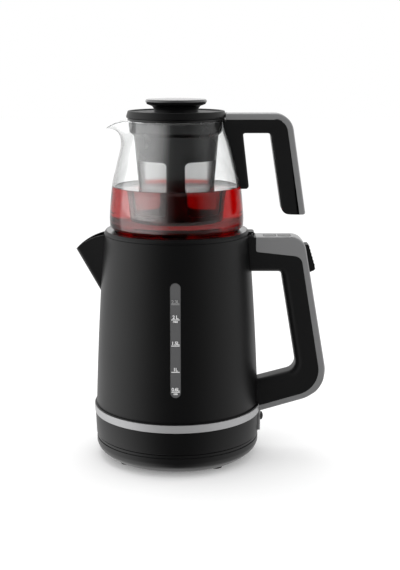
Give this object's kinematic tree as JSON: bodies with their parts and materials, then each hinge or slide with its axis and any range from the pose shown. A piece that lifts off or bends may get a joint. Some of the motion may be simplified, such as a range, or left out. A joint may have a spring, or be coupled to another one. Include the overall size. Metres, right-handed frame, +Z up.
{
  "type": "automatic tea maker",
  "caption": "Cordless kettle on a round power base with a glass teapot, infuser basket and lift-off lid stacked on its hinged lid.",
  "frame": {"origin": "middle of the part's box on the plane its feet stand on; the kettle's axis is the vertical line at X = -0.025", "axes": "+Z up, +X towards the handles, -X towards the spout, -Y the side with the water window"},
  "size_m": [0.258, 0.175, 0.3722],
  "materials": {
    "body_black": "fine matte, soft sheen",
    "base_black": "satin moulded",
    "gloss_black": "glossy",
    "grip_black": "soft-touch satin",
    "cover_grey": "satin metallic paint",
    "trim_silver": "satin",
    "rubber": "matte",
    "silicone": "translucent silicone",
    "stainless": "brushed",
    "steel_screw": "zinc plated",
    "connector": "moulded",
    "window": "smoked translucent",
    "glass": "clear borosilicate",
    "board": "circuit board",
    "basket": "satin moulded",
    "gauze": "fine steel gauze",
    "cap_metal": "satin dark steel"
  },
  "bodies": {
    "power_base": {"base_feet": "rubber", "base_screws": "steel_screw", "base_underplate": "base_black", "base_shell": "base_black", "base_socket": "connector", "cord_gland": "rubber"},
    "coupler": {"kettle_coupler": "connector"},
    "kettle": {"skirt": "body_black", "trim_ring": "trim_silver", "kettle_underplate": "base_black", "heater_plate": "stainless", "heating_element": "stainless", "thermostat": "connector", "heater_seal": "silicone", "kettle_shell": "body_black", "water_window": "window", "spout_strainer": "basket", "handle_grip": "grip_black", "handle_cover": "cover_grey", "key_board": "board", "control_plate": "cover_grey", "control_board": "board", "hinge_pin": "steel_screw"},
    "brew_key": {"brew_key": "cover_grey"},
    "boil_key": {"boil_key": "cover_grey"},
    "release_button": {"release_button": "grip_black"},
    "power_button": {"power_button": "gloss_black"},
    "kettle_lid": {"lid_deck": "gloss_black", "lid_liner": "base_black", "lid_seal": "silicone"},
    "teapot": {"teapot_glass": "glass", "teapot_handle_grip": "grip_black", "teapot_handle_cover": "cover_grey"},
    "infuser": {"infuser_frame": "basket", "infuser_mesh": "gauze"},
    "pot_lid": {"pot_lid_disc": "body_black", "pot_lid_gasket": "silicone", "pot_lid_knob": "gloss_black", "knob_cap": "cap_metal"}
  },
  "joints": [
    {"name": "kettle_lift", "type": "slide", "parent": "power_base", "child": "coupler", "axis": [0, 0, 1], "range_m": [0, 0.06]},
    {"name": "kettle_turn", "type": "hinge", "parent": "coupler", "child": "kettle", "pos_m": [-0.025, 0, 0.03], "axis": [0, 0, 1], "continuous": true},
    {"name": "kettle_lid_hinge", "type": "hinge", "parent": "kettle", "child": "kettle_lid", "pos_m": [0.0524, 0, 0.235], "axis": [0, 1, 0], "range_deg": [0, 85]},
    {"name": "teapot_lift", "type": "slide", "parent": "kettle", "child": "teapot", "axis": [0, 0, 1], "range_m": [0, 0.24]},
    {"name": "infuser_lift", "type": "slide", "parent": "teapot", "child": "infuser", "axis": [0, 0, 1], "range_m": [0, 0.12]},
    {"name": "pot_lid_lift", "type": "slide", "parent": "infuser", "child": "pot_lid", "axis": [0, 0, 1], "range_m": [0, 0.05]},
    {"name": "release_press", "type": "hinge", "parent": "kettle", "child": "release_button", "pos_m": [0.1034, 0, 0.221], "axis": [0, 1, 0], "range_deg": [0, 6], "stiffness_Nm_per_rad": 0.6, "springref_deg": -2.86},
    {"name": "brew_press", "type": "slide", "parent": "kettle", "child": "brew_key", "axis": [0, 0, -1], "range_m": [0, 0.001], "stiffness_N_per_m": 600},
    {"name": "boil_press", "type": "slide", "parent": "kettle", "child": "boil_key", "axis": [0, 0, -1], "range_m": [0, 0.001], "stiffness_N_per_m": 600},
    {"name": "power_press", "type": "slide", "parent": "kettle", "child": "power_button", "axis": [-1, 0, 0], "range_m": [0, 0.0015], "stiffness_N_per_m": 500}
  ],
  "couplings": [
    {"joint": "kettle_lid_hinge", "follows": "teapot_lift", "rad_per_m": 6.1813}
  ]
}
